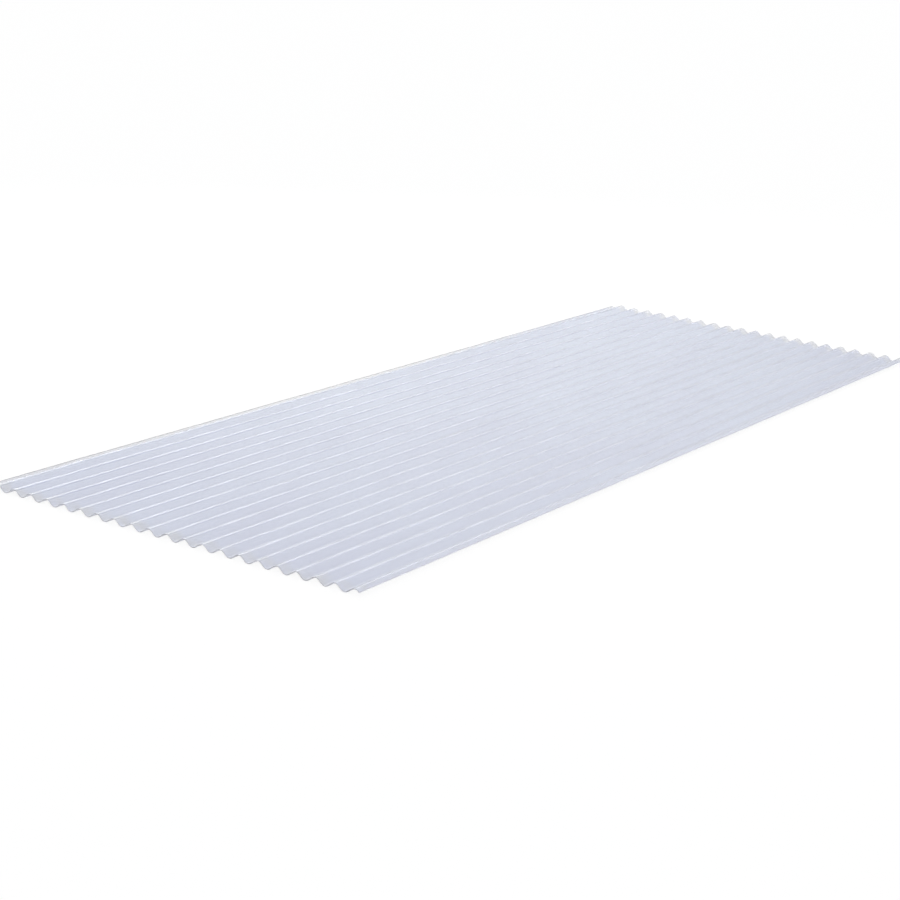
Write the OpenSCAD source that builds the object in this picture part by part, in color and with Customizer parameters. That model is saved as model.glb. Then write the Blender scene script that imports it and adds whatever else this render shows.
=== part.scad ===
// Corrugated PVC sheet, lying flat on its troughs.
// The waves run along Y, X goes across them, and Z = 0 is the underside of the troughs.

/* [Sheet] */
// Length of the sheet, along the waves
length = 1830; // [600:10:4000]
// Width of the sheet, across the waves, from edge to edge
width = 660; // [300:5:1300]
// Thickness of the plastic
thickness = 0.8; // [0.6:0.1:1.5]

/* [Waves] */
// Distance from one crest to the next
pitch = 31.5; // [24:0.25:40]
// Height of the sheet, from the underside of a trough to the top of a crest
depth = 9; // [6:0.5:12]
// Length of the straight flank between a crest's bend and a trough's bend
flank = 4.3; // [1:0.1:8]
// Distance from the right-hand edge in to the top of the last crest
right_lip = 7.5; // [0:0.5:30]

/* [Hidden] */

// Flat steps that make up one bend
bend_steps = 12;

// One wave is a crest bend, a flank, a trough bend and a flank. All four are tangent
// along the middle of the thickness, which gives the slope of the flanks and the
// radius of the bends.
middle_depth = depth - thickness;
slope = 2 * atan((middle_depth / 2) / (pitch / 4 + flank / 2));
bend_radius = (pitch / 4 - flank / 2 * cos(slope)) / sin(slope);

// Bend 0 is the last crest before the right-hand edge. The bends are half a wave apart,
// crest and trough in turn, and they go out past both edges, where the sheet is trimmed.
half_wave = pitch / 2;
last_crest_x = width / 2 - right_lip;
leftmost_bend = -ceil((width - right_lip) / half_wave) - 1;
rightmost_bend = ceil(right_lip / half_wave) + 1;

// 1 where bend i is a crest, -1 where it is a trough
function side(i) = i % 2 == 0 ? 1 : -1;

// Points from left to right over every bend, on the face that lies offset above
// the middle of the thickness. Each flank is the straight run between two bends.
function face_points(offset) = [
    for (i = [leftmost_bend : rightmost_bend])
        for (step = [0 : bend_steps])
            let (
                turn = slope * (2 * step / bend_steps - 1),
                radius = bend_radius + side(i) * offset,
                centre_x = last_crest_x + i * half_wave,
                centre_z = side(i) * (middle_depth / 2 - bend_radius)
            )
            [centre_x + radius * sin(turn), centre_z + side(i) * radius * cos(turn)]
];

function reversed(points) = [for (i = [len(points) - 1 : -1 : 0]) points[i]];

// The section across the waves, trimmed square at both edges of the sheet
module wave_section() {
    intersection() {
        polygon(concat(face_points(thickness / 2), reversed(face_points(-thickness / 2))));
        square([width, 2 * depth], center = true);
    }
}

module corrugated_sheet() {
    color([0.84, 0.87, 0.93])
        translate([0, 0, depth / 2])
            rotate([90, 0, 0])
                linear_extrude(height = length, center = true)
                    wave_section();
}

corrugated_sheet();
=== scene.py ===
import math
from collections import namedtuple

import bpy
import numpy as np
from mathutils import Matrix, Vector


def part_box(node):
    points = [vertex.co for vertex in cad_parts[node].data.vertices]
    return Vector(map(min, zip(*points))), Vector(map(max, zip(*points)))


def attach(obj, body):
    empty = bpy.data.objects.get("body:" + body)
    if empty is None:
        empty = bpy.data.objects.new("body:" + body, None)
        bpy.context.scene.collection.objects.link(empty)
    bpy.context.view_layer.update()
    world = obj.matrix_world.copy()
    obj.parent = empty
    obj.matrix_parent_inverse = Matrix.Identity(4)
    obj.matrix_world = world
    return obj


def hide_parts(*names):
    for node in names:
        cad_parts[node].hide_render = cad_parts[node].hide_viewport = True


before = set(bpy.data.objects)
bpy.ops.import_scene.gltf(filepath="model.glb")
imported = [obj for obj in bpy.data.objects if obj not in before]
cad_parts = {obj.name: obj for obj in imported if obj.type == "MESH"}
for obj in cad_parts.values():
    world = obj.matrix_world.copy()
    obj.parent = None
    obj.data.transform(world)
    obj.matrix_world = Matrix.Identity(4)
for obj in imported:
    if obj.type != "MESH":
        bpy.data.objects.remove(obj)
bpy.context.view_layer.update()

# The clear corrugated sheet is drawn again as one fine mesh on the CAD section, with the slight unevenness
# of a thin sheet lying loose. Lengths are metres. The waves run along Y, X goes across them, and the sheet
# lies at Z = 0.

NODE = "corrugated_sheet"
low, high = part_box(NODE)

# ---------------------------------------------------------------------------------------------------------
# Section of the sheet: the same sizes as the CAD source, with the overall ones read from its box
# ---------------------------------------------------------------------------------------------------------
WIDTH = high.x - low.x
LENGTH = high.y - low.y
DEPTH = high.z - low.z
THICKNESS = 0.0008
PITCH = 0.0315
FLANK = 0.0043
RIGHT_LIP = 0.0075

HALF_WAVE = PITCH / 2
MIDDLE_DEPTH = DEPTH - THICKNESS
SLOPE = 2 * math.atan((MIDDLE_DEPTH / 2) / (PITCH / 4 + FLANK / 2))
BEND_RADIUS = (PITCH / 4 - FLANK / 2 * math.cos(SLOPE)) / math.sin(SLOPE)
LAST_CREST_X = WIDTH / 2 - RIGHT_LIP

# Mesh: steps along each bend, rows of faces along the length, and the least space between an edge's own
# points and the next ones
BEND_STEPS = 10
ROWS = 92
EDGE_SPACE = 1e-5

# Unevenness of a loose sheet, all of it inside the CAD box: the most that troughs rise, that crests sink and
# that both move sideways. Each has the seed of its random pattern and the pattern's length across and along.
LIFT = 0.00035
LIFT_PATTERN = (3, 0.30, 0.35)
DROP = 0.00045
DROP_PATTERN = (5, 0.09, 0.16)
SWAY = 0.0004
SWAY_PATTERN = (8, 0.12, 0.22)
# The sideways move starts at nothing on the long edges, and is whole this far from them
SWAY_MARGIN = 2 * PITCH
# A pattern is a sum of this many waves, and within its length along the sheet a wave repeats at least and at
# most this often
RIPPLE_WAVES = 7
LEAST_REPEATS = 0.6
MOST_REPEATS = 1.4


def bends():
    """Centre x, centre z and side (1 crest, -1 trough) of every bend, and of those just past the edges."""
    first = -math.ceil((WIDTH - RIGHT_LIP) / HALF_WAVE) - 1
    last = math.ceil(RIGHT_LIP / HALF_WAVE) + 1
    for i in range(first, last + 1):
        side = 1 if i % 2 == 0 else -1
        yield LAST_CREST_X + i * HALF_WAVE, DEPTH / 2 + side * (MIDDLE_DEPTH / 2 - BEND_RADIUS), side


def face_line(offset):
    """Points (x, z) along one face of the section, at this offset from the middle of the thickness."""
    points = []
    for centre_x, centre_z, side in bends():
        radius = BEND_RADIUS + side * offset
        for step in range(BEND_STEPS + 1):
            turn = SLOPE * (2 * step / BEND_STEPS - 1)
            points.append((centre_x + radius * math.sin(turn), centre_z + side * radius * math.cos(turn)))
    return np.array(points)


def section():
    """Both faces of the section with the same number of points, cut square at the two long edges."""
    upper = face_line(THICKNESS / 2)
    under = face_line(-THICKNESS / 2)
    edge = WIDTH / 2
    keep = (np.abs(upper[:, 0]) < edge - EDGE_SPACE) & (np.abs(under[:, 0]) < edge - EDGE_SPACE)
    lines = []
    for line in (upper, under):
        ends = [(x, np.interp(x, line[:, 0], line[:, 1])) for x in (-edge, edge)]
        lines.append(np.vstack([ends[0], line[keep], ends[1]]))
    return lines


def ripple(x, y, seed, across, along):
    """A smooth random field from 0 to 1: a sum of waves about this long across and along the sheet."""
    rng = np.random.default_rng(seed)
    total = np.zeros_like(x)
    for _ in range(RIPPLE_WAVES):
        wave_x = rng.normal() / across
        wave_y = rng.choice((-1, 1)) * rng.uniform(LEAST_REPEATS, MOST_REPEATS) / along
        total += np.sin(2 * math.pi * (wave_x * x + wave_y * y) + rng.uniform(0, 2 * math.pi))
    return 0.5 + 0.5 * np.tanh(total / math.sqrt(RIPPLE_WAVES))


def uneven(points):
    """Moves points by the sheet's unevenness. None leaves the box, and the long edges stay straight."""
    x, y, z = points.T.copy()
    height = z / DEPTH
    lift = LIFT * ripple(x, y, *LIFT_PATTERN)
    drop = DROP * ripple(x, y, *DROP_PATTERN)
    inside = np.clip((WIDTH / 2 - np.abs(x)) / SWAY_MARGIN, 0, 1)
    sway = SWAY * inside * (2 * ripple(x, y, *SWAY_PATTERN) - 1)
    return np.column_stack([x + sway, y, z + lift * (1 - height) - drop * height])


def sheet_mesh():
    """The closed sheet. Its material slots: 0 wide faces, 1 sawn ends, 2 right edge, 3 left edge."""
    sides = section()
    ys = np.linspace(-LENGTH / 2, LENGTH / 2, ROWS + 1)
    cols = len(sides[0])
    rows = len(ys)
    grids = []
    for line in sides:
        grid = np.empty((rows, cols, 3))
        grid[:, :, 0] = line[:, 0]
        grid[:, :, 1] = ys[:, None]
        grid[:, :, 2] = line[:, 1]
        grids.append(grid.reshape(-1, 3))
    points = uneven(np.vstack(grids))

    def corner(face, row, col):
        return (face * rows + row) * cols + col

    wide = []
    ends = []
    right_edge = []
    left_edge = []
    for r in range(rows - 1):
        for c in range(cols - 1):
            wide.append((corner(0, r, c), corner(0, r, c + 1), corner(0, r + 1, c + 1), corner(0, r + 1, c)))
            wide.append((corner(1, r, c), corner(1, r + 1, c), corner(1, r + 1, c + 1), corner(1, r, c + 1)))
    for c in range(cols - 1):
        for r, a, b in ((0, c, c + 1), (rows - 1, c + 1, c)):
            ends.append((corner(0, r, a), corner(1, r, a), corner(1, r, b), corner(0, r, b)))
    last = cols - 1
    for r in range(rows - 1):
        for edge, c, a, b in ((right_edge, last, r, r + 1), (left_edge, 0, r + 1, r)):
            edge.append((corner(0, a, c), corner(1, a, c), corner(1, b, c), corner(0, b, c)))

    groups = (wide, ends, right_edge, left_edge)
    mesh = bpy.data.meshes.new("clear_sheet")
    mesh.from_pydata(points.tolist(), [], [quad for group in groups for quad in group])
    slots = np.repeat(np.arange(len(groups), dtype=np.int32), [len(group) for group in groups])
    mesh.polygons.foreach_set("material_index", slots)
    mesh.polygons.foreach_set("use_smooth", slots == 0)
    # The edges of the cut faces are sharp. Those faces come after the wide ones, each with four corners.
    edge_of_corner = np.empty(len(mesh.loops), np.int32)
    mesh.loops.foreach_get("edge_index", edge_of_corner)
    sharp = np.zeros(len(mesh.edges), bool)
    sharp[edge_of_corner[4 * len(wide):]] = True
    mesh.edges.foreach_set("use_edge_sharp", sharp)
    mesh.update()
    return mesh


# ---------------------------------------------------------------------------------------------------------
# Node trees: short ways to build them, and the noise patterns that the materials use
# ---------------------------------------------------------------------------------------------------------
# A noise pattern: the part of its scale that each axis has (less than 1 draws it out that way), its scale
# per metre and its detail. As a tint, its share goes smoothly from least to most as the noise goes from
# start to full.
Pattern = namedtuple("Pattern", "axes scale detail start full least most", defaults=(0.0, 1.0, 0.0, 1.0))

CLOUDS = Pattern((1, 0.45, 1), 6.0, 2.0, 0.35, 0.68)
DRAWN_LINES = Pattern((1, 0.012, 1), 420.0, 1.0, 0.60, 0.80, 0.0, 0.7)
DUST = Pattern((1, 1, 1), 900.0, 0.0, 0.82, 0.88, 0.0, 0.4)
WAVINESS = Pattern((1, 0.5, 1), 32.0, 1.0)
# The patches in the rim's painted light and shade
RIM_PATCHES = Pattern((1, 1, 1), 30.0, 1.0, 0.35, 0.60, 0.35, 1.0)
CUTTER_MARKS = Pattern((1, 1, 0.15), 1500.0, 2.0, 0.30, 0.60, 0.4, 1.0)
# Patches of painted shade on the cut edges
PAINTED_SHADE_PATCHES = Pattern((1, 1, 1), 45.0, 1.0, 0.50, 0.64)


class Nodes:
    """A node tree, with short ways to add and join nodes."""

    def __init__(self, tree):
        self.tree = tree

    def add(self, kind, **settings):
        node = self.tree.nodes.new("ShaderNode" + kind)
        for name, value in settings.items():
            setattr(node, name, value)
        return node

    def put(self, socket, value):
        """Joins a socket to another, or sets it to a value."""
        if isinstance(value, bpy.types.NodeSocket):
            self.tree.links.new(value, socket)
        else:
            socket.default_value = value

    def maths(self, operation, one, two):
        node = self.add("Math", operation=operation)
        self.put(node.inputs[0], one)
        self.put(node.inputs[1], two)
        return node.outputs[0]

    def position(self):
        """The point's place in the object's own metres."""
        return self.add("TexCoord").outputs["Object"]

    def noise(self, pattern):
        mapping = self.add("Mapping")
        self.put(mapping.inputs["Vector"], self.position())
        mapping.inputs["Scale"].default_value = pattern.axes
        texture = self.add("TexNoise")
        self.put(texture.inputs["Vector"], mapping.outputs[0])
        texture.inputs["Scale"].default_value = pattern.scale
        texture.inputs["Detail"].default_value = pattern.detail
        return texture.outputs[0]

    def share(self, pattern):
        """A pattern's share as a tint."""
        return self.fade(self.noise(pattern), pattern.start, pattern.full, pattern.least, pattern.most)

    def fade(self, value, start, end, start_out=0.0, end_out=1.0, curve="SMOOTHSTEP"):
        """start_out up to start, end_out from end on, and a smooth or a LINEAR change between them."""
        node = self.add("MapRange", interpolation_type=curve)
        self.put(node.inputs["Value"], value)
        node.inputs["From Min"].default_value = start
        node.inputs["From Max"].default_value = end
        node.inputs["To Min"].default_value = start_out
        node.inputs["To Max"].default_value = end_out
        return node.outputs[0]

    def blend(self, factor, one, two):
        """A colour that is one where factor is 0, and two where it is 1."""
        node = self.add("Mix", data_type="RGBA")
        self.put(node.inputs["Factor"], factor)
        self.put(node.inputs["A"], one)
        self.put(node.inputs["B"], two)
        return next(s for s in node.outputs if s.type == "RGBA")

    def mix(self, factor, one, two):
        """A shader that is one where factor is 0, and two where it is 1."""
        node = self.add("MixShader")
        self.put(node.inputs[0], factor)
        self.put(node.inputs[1], one.outputs[0])
        self.put(node.inputs[2], two.outputs[0])
        return node.outputs[0]

    def bump(self, height, distance, normal=None):
        node = self.add("Bump")
        node.inputs["Distance"].default_value = distance
        self.put(node.inputs["Height"], height)
        if normal is not None:
            self.put(node.inputs["Normal"], normal)
        return node.outputs[0]


def new_material(name):
    """A new material, its nodes and its shader."""
    material = bpy.data.materials.new(name)
    material.use_nodes = True
    return material, Nodes(material.node_tree), material.node_tree.nodes["Principled BSDF"]


# ---------------------------------------------------------------------------------------------------------
# Materials
# ---------------------------------------------------------------------------------------------------------
CLEAR = (0.840, 0.876, 0.983, 1)
CLOUDY = (0.824, 0.854, 0.965, 1)
STREAK = (0.86, 0.885, 0.955, 1)
SPECK = (0.70, 0.71, 0.72, 1)
# Rim colours: grey painted shade, pale painted light, and the pale painted light of the left lip
RIM_PAINTED_SHADE = (0.82, 0.835, 0.87, 1)
RIM_PAINTED_LIGHT = (0.95, 0.96, 0.975, 1)
LIP_PAINTED_LIGHT = (0.94, 0.952, 0.98, 1)
SAWN = (0.88, 0.885, 0.90, 1)
# The darker sawn and slit colours are painted shade on the cut edges
SAWN_PAINTED_SHADE = (0.50, 0.50, 0.52, 1)
SLIT = (0.90, 0.91, 0.935, 1)
SLIT_PAINTED_SHADE = (0.78, 0.79, 0.82, 1)

PVC_IOR = 1.53
FACE_ROUGHNESS = 0.09
CUT_ROUGHNESS = 0.35
WAVINESS_HEIGHT = 0.0008
DRAWN_LINE_HEIGHT = 0.00004
CUTTER_MARK_HEIGHT = 0.00015

# How much of the light passes through each surface instead of being scattered by it
CLEAR_SHARE = 0.75
LIP_CLEAR_SHARE = 0.86
SAWN_CLEAR_SHARE = 0.80
RIGHT_CLEAR_SHARE = 0.35
LEFT_CLEAR_SHARE = 0.85

# Painted light and shade at the rim: how far in it reaches at the ends and along the right edge, the outer
# part of that where it is whole, and its strength. It is grey painted shade at the near end and, more
# weakly, along the right edge, and pale painted light at the far end.
END_RIM = 0.030
RIGHT_RIM = 0.022
RIM_WHOLE = 1 / 3
RIM_PAINT_SHARE = 0.85
RIGHT_SHADE = 0.25
# The left lip has pale painted light and is clearer, without patches: how far in it reaches, the outer part
# of that where it is whole, and the places along the sheet where it starts to fade and where only its far
# share is left
LEFT_RIM = 0.024
LIP_WHOLE = 1 / 2
LIP_FADE_START = 0.10
LIP_FADE_END = 0.85
LIP_FAR_SHARE = 0.15


def rim(n):
    """The rim's painted grey shade, pale light and pale left lip: each strongest at its edges, 0 further in.
    """
    place = n.add("SeparateXYZ")
    n.put(place.inputs[0], n.position())
    x = place.outputs["X"]
    y = place.outputs["Y"]
    left = n.fade(x, -WIDTH / 2 + LEFT_RIM * LIP_WHOLE, -WIDTH / 2 + LEFT_RIM, 1.0, 0.0)
    right = n.fade(x, WIDTH / 2 - RIGHT_RIM, WIDTH / 2 - RIGHT_RIM * RIM_WHOLE, 0.0, RIGHT_SHADE)
    near = n.fade(y, -LENGTH / 2 + END_RIM * RIM_WHOLE, -LENGTH / 2 + END_RIM, 1.0, 0.0)
    far = n.fade(y, LENGTH / 2 - END_RIM, LENGTH / 2 - END_RIM * RIM_WHOLE, 0.0, 1.0)
    rim_paint = n.maths("MULTIPLY", n.share(RIM_PATCHES), RIM_PAINT_SHARE)
    grey = n.maths("MULTIPLY", n.maths("MAXIMUM", near, right), rim_paint)
    pale = n.maths("MULTIPLY", far, rim_paint)
    lip = n.maths("MULTIPLY", left, n.fade(y, LIP_FADE_START, LIP_FADE_END, 1.0, LIP_FAR_SHARE))
    return grey, pale, lip


def clear_pvc():
    """Pale lavender-blue clear PVC: faint clouds, lines drawn along the sheet, dust, rim of painted light
    and shade.
    """
    material, n, shader = new_material("clear_pvc")
    grey, pale, lip = rim(n)
    colour = n.blend(n.share(CLOUDS), CLEAR, CLOUDY)
    colour = n.blend(n.share(DRAWN_LINES), colour, STREAK)
    colour = n.blend(n.share(DUST), colour, SPECK)
    # The rim: grey painted shade at the near end and right edge, pale painted light at the far end and left
    # lip
    colour = n.blend(grey, colour, RIM_PAINTED_SHADE)
    colour = n.blend(pale, colour, RIM_PAINTED_LIGHT)
    colour = n.blend(lip, colour, LIP_PAINTED_LIGHT)
    n.put(shader.inputs["Base Color"], colour)
    waviness = n.bump(n.noise(WAVINESS), WAVINESS_HEIGHT)
    n.put(shader.inputs["Normal"], n.bump(n.noise(DRAWN_LINES), DRAWN_LINE_HEIGHT, waviness))
    clear_share = n.fade(lip, 0.0, 1.0, CLEAR_SHARE, LIP_CLEAR_SHARE, "LINEAR")
    n.put(shader.inputs["Transmission Weight"], clear_share)
    shader.inputs["Roughness"].default_value = FACE_ROUGHNESS
    shader.inputs["IOR"].default_value = PVC_IOR
    return material


def cut_edge(name, colour, painted_shade_colour, clear_share):
    """A cut edge: hazy and matt, with fine cutter marks across the thickness and patches of painted shade.
    """
    material, n, shader = new_material(name)
    # Painted shade in patches, broken up by the cutter marks
    dark = n.maths("MULTIPLY", n.share(PAINTED_SHADE_PATCHES), n.share(CUTTER_MARKS))
    n.put(shader.inputs["Base Color"], n.blend(dark, colour, painted_shade_colour))
    n.put(shader.inputs["Normal"], n.bump(n.noise(CUTTER_MARKS), CUTTER_MARK_HEIGHT))
    shader.inputs["Roughness"].default_value = CUT_ROUGHNESS
    shader.inputs["IOR"].default_value = PVC_IOR
    shader.inputs["Transmission Weight"].default_value = clear_share
    return material


sheet = bpy.data.objects.new("clear_sheet", sheet_mesh())
sheet.data.materials.append(clear_pvc())
sheet.data.materials.append(cut_edge("sawn_end", SAWN, SAWN_PAINTED_SHADE, SAWN_CLEAR_SHARE))
sheet.data.materials.append(cut_edge("slit_right", SLIT, SLIT_PAINTED_SHADE, RIGHT_CLEAR_SHARE))
sheet.data.materials.append(cut_edge("slit_left", SLIT, SLIT_PAINTED_SHADE, LEFT_CLEAR_SHARE))
bpy.context.scene.collection.objects.link(sheet)
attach(sheet, "root")
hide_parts(NODE)

# ---------------------------------------------------------------------------------------------------------
# Floor: white and matt. Part of its white doesn't depend on the light, so that it shows as plain white and
# the shadow on it stays soft.
# ---------------------------------------------------------------------------------------------------------
FLOOR_SIDE = 200.0
FLOOR_GAP = 0.0002
FLOOR_WHITE = (0.99, 0.99, 0.99, 1)
PLAIN_WHITE = (1, 1, 1, 1)
# The share of the white seen by the camera that doesn't depend on the light
UNLIT_SHARE = 0.90
# Seen through the sheet or mirrored in it, the floor carries a painted pool of light: it is brightest in a
# long oval around this point, and dims further out. The oval's short half width is POOL_INNER, and where it
# has grown to POOL_OUTER the floor is at its dimmest. The camera itself sees plain white everywhere.
POOL_AT = (-1.71, 1.24, 0.0)
POOL_TURN = math.radians(49.6)
POOL_STRETCH = 2.23
POOL_INNER = 0.87
POOL_OUTER = 1.36
POOL_BRIGHT = (0.985, 0.980, 0.955, 1)
POOL_DIM = (0.750, 0.745, 0.775, 1)


def white_floor():
    """Matt white. Most of what the camera sees of it, and all that shows in the sheet, is unlit."""
    material, n, shader = new_material("white_floor")
    shader.inputs["Base Color"].default_value = FLOOR_WHITE
    shader.inputs["Roughness"].default_value = 1.0
    shader.inputs["Specular IOR Level"].default_value = 0.0

    # The painted pool of light that shows in the sheet
    oval = n.add("Mapping", vector_type="TEXTURE")
    n.put(oval.inputs["Vector"], n.position())
    oval.inputs["Location"].default_value = POOL_AT
    oval.inputs["Rotation"].default_value = (0, 0, POOL_TURN)
    oval.inputs["Scale"].default_value = (1, POOL_STRETCH, 1)
    distance = n.add("VectorMath", operation="LENGTH")
    n.put(distance.inputs[0], oval.outputs[0])
    dimness = n.fade(distance.outputs["Value"], POOL_INNER, POOL_OUTER, curve="LINEAR")
    painted_light_pool = n.blend(dimness, POOL_BRIGHT, POOL_DIM)

    ray = n.add("LightPath").outputs
    white = n.add("Emission")
    n.put(white.inputs["Color"], n.blend(ray["Is Camera Ray"], painted_light_pool, PLAIN_WHITE))
    seen = n.maths("MULTIPLY", ray["Is Camera Ray"], UNLIT_SHARE)
    through = n.maths("MAXIMUM", ray["Is Glossy Ray"], ray["Is Transmission Ray"])
    surface = n.mix(n.maths("MAXIMUM", seen, through), shader, white)
    n.put(n.tree.nodes["Material Output"].inputs["Surface"], surface)
    return material


def floor():
    """A wide level square, just below the sheet."""
    half = FLOOR_SIDE / 2
    z = low.z - FLOOR_GAP
    corners = [(-half, -half, z), (half, -half, z), (half, half, z), (-half, half, z)]
    mesh = bpy.data.meshes.new("floor")
    mesh.from_pydata(corners, [], [(0, 1, 2, 3)])
    mesh.materials.append(white_floor())
    ob = bpy.data.objects.new("floor", mesh)
    bpy.context.scene.collection.objects.link(ob)


floor()

# ---------------------------------------------------------------------------------------------------------
# Light: an even white studio, softly brighter to the left and right, and one large lamp over the far left
# ---------------------------------------------------------------------------------------------------------
STUDIO_STRENGTH = 0.82
STUDIO_TINT = (0.985, 0.99, 1.0, 1)
# Each soft area: degrees left of +Y, degrees up, added strength, degrees to full and to nothing
GLOWS = (
    (60, 24, 0.95, 12, 37),
    (240, 24, 0.95, 12, 37),
)
LAMP_AT = Vector((-1.1, 1.0, 1.2))
LAMP_SIDE = 1.2
LAMP_WATTS = 14.0


def toward(left, up):
    """A unit vector this many degrees left of +Y and up."""
    a = math.radians(left)
    e = math.radians(up)
    return Vector((-math.sin(a) * math.cos(e), math.cos(a) * math.cos(e), math.sin(e)))


def studio():
    """The soft surround that lights the sheet. The camera itself sees plain white beyond the floor."""
    world = bpy.data.worlds.new("studio")
    world.use_nodes = True
    n = Nodes(world.node_tree)
    direction = n.add("TexCoord").outputs["Generated"]
    strength = STUDIO_STRENGTH
    for left, up, added, full, none in GLOWS:
        facing = n.add("VectorMath", operation="DOT_PRODUCT")
        n.put(facing.inputs[0], direction)
        facing.inputs[1].default_value = toward(left, up)
        edge = math.cos(math.radians(none))
        core = math.cos(math.radians(full))
        glow = n.fade(facing.outputs["Value"], edge, core, 0.0, added)
        strength = n.maths("ADD", glow, strength)
    surround = n.tree.nodes["Background"]
    surround.inputs["Color"].default_value = STUDIO_TINT
    n.put(surround.inputs["Strength"], strength)
    white = n.add("Background")
    white.inputs["Color"].default_value = PLAIN_WHITE
    surface = n.mix(n.add("LightPath").outputs["Is Camera Ray"], surround, white)
    n.put(n.tree.nodes["World Output"].inputs["Surface"], surface)
    bpy.context.scene.world = world


def lamp():
    """One large weak lamp, aimed at the sheet's middle. It lights surfaces but shows in none of them."""
    data = bpy.data.lights.new("soft_lamp", "AREA")
    data.shape = "SQUARE"
    data.size = LAMP_SIDE
    data.energy = LAMP_WATTS
    ob = bpy.data.objects.new("soft_lamp", data)
    ob.matrix_world = Matrix.Translation(LAMP_AT) @ LAMP_AT.to_track_quat("Z", "Y").to_matrix().to_4x4()
    ob.visible_glossy = False
    ob.visible_transmission = False
    bpy.context.scene.collection.objects.link(ob)


studio()
lamp()

# ---------------------------------------------------------------------------------------------------------
# Camera: low in front and to the right, turned a little about its own axis
# ---------------------------------------------------------------------------------------------------------
AZIMUTH = math.radians(32.63)
ELEVATION = math.radians(15.86)
ROLL = math.radians(3.63)
DISTANCE = 3.3215
LOOK_AT = Vector((0.0450, -0.2783, 0.0045))
LENS_MM = 83.85
SENSOR_MM = 36.0


def camera():
    """The camera, this far from the point that it looks at, with its own axes worked out from the angles."""
    back = Vector((
        math.sin(AZIMUTH) * math.cos(ELEVATION),
        -math.cos(AZIMUTH) * math.cos(ELEVATION),
        math.sin(ELEVATION),
    ))
    level = (-back).cross(Vector((0, 0, 1))).normalized()
    upright = level.cross(-back)
    right = level * math.cos(ROLL) + upright * math.sin(ROLL)
    up = upright * math.cos(ROLL) - level * math.sin(ROLL)
    data = bpy.data.cameras.new("camera")
    data.sensor_width = SENSOR_MM
    data.lens = LENS_MM
    data.clip_end = 2 * FLOOR_SIDE
    ob = bpy.data.objects.new("camera", data)
    turn = Matrix((right, up, back)).transposed().to_4x4()
    ob.matrix_world = Matrix.Translation(LOOK_AT + back * DISTANCE) @ turn
    bpy.context.scene.collection.objects.link(ob)
    bpy.context.scene.camera = ob


camera()
bpy.context.scene.view_settings.view_transform = "Standard"
